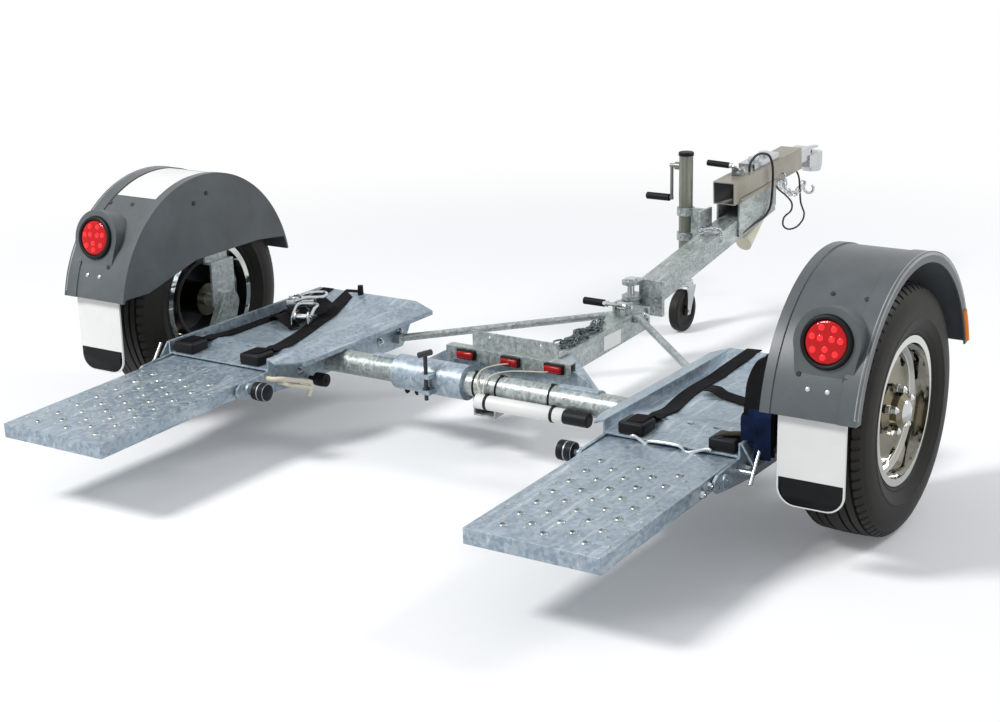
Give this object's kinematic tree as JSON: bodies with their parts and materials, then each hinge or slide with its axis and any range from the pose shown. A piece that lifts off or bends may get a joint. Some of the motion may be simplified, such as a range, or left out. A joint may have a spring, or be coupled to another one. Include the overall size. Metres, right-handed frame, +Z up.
{
  "type": "car tow dolly",
  "caption": "Low two-wheel trailer that carries a car's front wheels in pans behind tilting ramps, with fenders, tail lamps and a tongue that folds sideways on a screw jack.",
  "frame": {"origin": "on the ground under the middle of the whole length, midway between the tyres", "axes": "+X to the right seen from behind, +Y forward to the coupler, +Z up"},
  "size_m": [2.586, 3.3582, 0.7519],
  "materials": {
    "galvanised": "galvanised",
    "zinc": "bright zinc",
    "black_steel": "black",
    "tyre_rubber": "rubber",
    "chrome_rim": "chrome",
    "grey_plastic": "dark grey",
    "red_lens": "red lens",
    "white_plastic": "white",
    "black_strap": "black rubber and webbing",
    "taupe_paint": "grey-brown paint",
    "olive_paint": "grey-olive paint"
  },
  "bodies": {
    "chassis": {"axle_beam": "galvanised", "axle_sleeve": "galvanised", "pan_left": "galvanised", "pan_right": "galvanised", "frame_left": "galvanised", "frame_right": "galvanised", "fender_left": "grey_plastic", "fender_right": "grey_plastic", "fender_bracket_left": "galvanised", "fender_bracket_right": "galvanised", "tail_light_left": "red_lens", "tail_light_right": "red_lens", "mud_flap_left": "white_plastic", "mud_flap_right": "white_plastic", "strap_left": "black_strap", "strap_right": "black_strap", "tongue_base": "galvanised", "gusset": "galvanised", "brace_left": "galvanised", "brace_right": "galvanised", "light_bar": "galvanised", "marker_lamps": "red_lens", "plate_bracket": "galvanised", "document_tube": "white_plastic", "fold_pin": "zinc"},
    "wheel_left": {"tyre_left": "tyre_rubber", "rim_left": "chrome_rim"},
    "wheel_right": {"tyre_right": "tyre_rubber", "rim_right": "chrome_rim"},
    "ramp_left": {"ramp_left": "galvanised"},
    "ramp_right": {"ramp_right": "galvanised"},
    "ramp_pin_left": {"ramp_pin_left": "zinc"},
    "ramp_pin_right": {"ramp_pin_right": "zinc"},
    "lock_pin": {"lock_pin": "black_steel"},
    "tongue": {"tongue_front": "galvanised", "actuator": "taupe_paint", "reservoir": "zinc", "lever_stand": "galvanised", "chain_cup": "white_plastic", "jack_bracket": "galvanised", "jack_tube": "olive_paint"},
    "fold_lever": {"fold_lever": "black_steel"},
    "brake_lever": {"brake_lever": "black_steel"},
    "coupler": {"coupler": "zinc", "latch_ears": "zinc"},
    "coupler_latch": {"coupler_latch": "zinc"},
    "jack_crank": {"jack_crank": "black_steel"},
    "jack_leg": {"jack_leg": "zinc"},
    "jack_yoke": {"jack_yoke": "zinc"},
    "jack_wheel": {"jack_wheel": "tyre_rubber"}
  },
  "joints": [
    {"name": "wheel_spin_left", "type": "hinge", "parent": "chassis", "child": "wheel_left", "pos_m": [-1.17, -0.66282, 0.3315], "axis": [1, 0, 0], "continuous": true},
    {"name": "wheel_spin_right", "type": "hinge", "parent": "chassis", "child": "wheel_right", "pos_m": [1.17, -0.66282, 0.3315], "axis": [1, 0, 0], "continuous": true},
    {"name": "ramp_tilt_left", "type": "hinge", "parent": "chassis", "child": "ramp_left", "pos_m": [-0.761, -1.09782, 0.23], "axis": [-1, 0, 0], "range_deg": [0, 132]},
    {"name": "ramp_tilt_right", "type": "hinge", "parent": "chassis", "child": "ramp_right", "pos_m": [0.761, -1.09782, 0.23], "axis": [-1, 0, 0], "range_deg": [0, 132]},
    {"name": "ramp_pin_pull_left", "type": "slide", "parent": "chassis", "child": "ramp_pin_left", "axis": [-1, 0, 0], "range_m": [0, 0.025], "stiffness_N_per_m": 400, "springref_m": -0.02},
    {"name": "ramp_pin_pull_right", "type": "slide", "parent": "chassis", "child": "ramp_pin_right", "axis": [1, 0, 0], "range_m": [0, 0.025], "stiffness_N_per_m": 400, "springref_m": -0.02},
    {"name": "lock_pin_lift", "type": "slide", "parent": "chassis", "child": "lock_pin", "axis": [0, 0, 1], "range_m": [0, 0.025], "stiffness_N_per_m": 400, "springref_m": -0.02},
    {"name": "tongue_fold", "type": "hinge", "parent": "chassis", "child": "tongue", "pos_m": [-0.055, 0.27218, 0.24], "axis": [0, 0, 1], "range_deg": [0, 114]},
    {"name": "fold_lever_lift", "type": "hinge", "parent": "chassis", "child": "fold_lever", "pos_m": [0, 0.11818, 0.262], "axis": [-1, 0, 0], "range_deg": [0, 50]},
    {"name": "brake_lever_lift", "type": "hinge", "parent": "tongue", "child": "brake_lever", "pos_m": [0, 0.97604, 0.56794], "axis": [-1, 0, 0], "range_deg": [0, 45]},
    {"name": "coupler_push", "type": "slide", "parent": "tongue", "child": "coupler", "axis": [0, -0.9982, -0.0593], "range_m": [0, 0.05], "stiffness_N_per_m": 4000, "springref_m": -0.01},
    {"name": "coupler_latch_lift", "type": "hinge", "parent": "coupler", "child": "coupler_latch", "pos_m": [0, 1.57715, 0.53999], "axis": [1, 0, 0], "range_deg": [0, 70]},
    {"name": "jack_crank_spin", "type": "hinge", "parent": "tongue", "child": "jack_crank", "pos_m": [-0.12, 0.79918, 0.6], "axis": [1, 0, 0], "continuous": true},
    {"name": "jack_leg_slide", "type": "slide", "parent": "tongue", "child": "jack_leg", "axis": [0, 0, 1], "range_m": [-0.1, 0.1]},
    {"name": "jack_yoke_swivel", "type": "hinge", "parent": "jack_leg", "child": "jack_yoke", "pos_m": [-0.12, 0.79918, 0.17], "axis": [0, 0, 1], "continuous": true},
    {"name": "jack_wheel_spin", "type": "hinge", "parent": "jack_yoke", "child": "jack_wheel", "pos_m": [-0.12, 0.77718, 0.076], "axis": [1, 0, 0], "continuous": true}
  ]
}
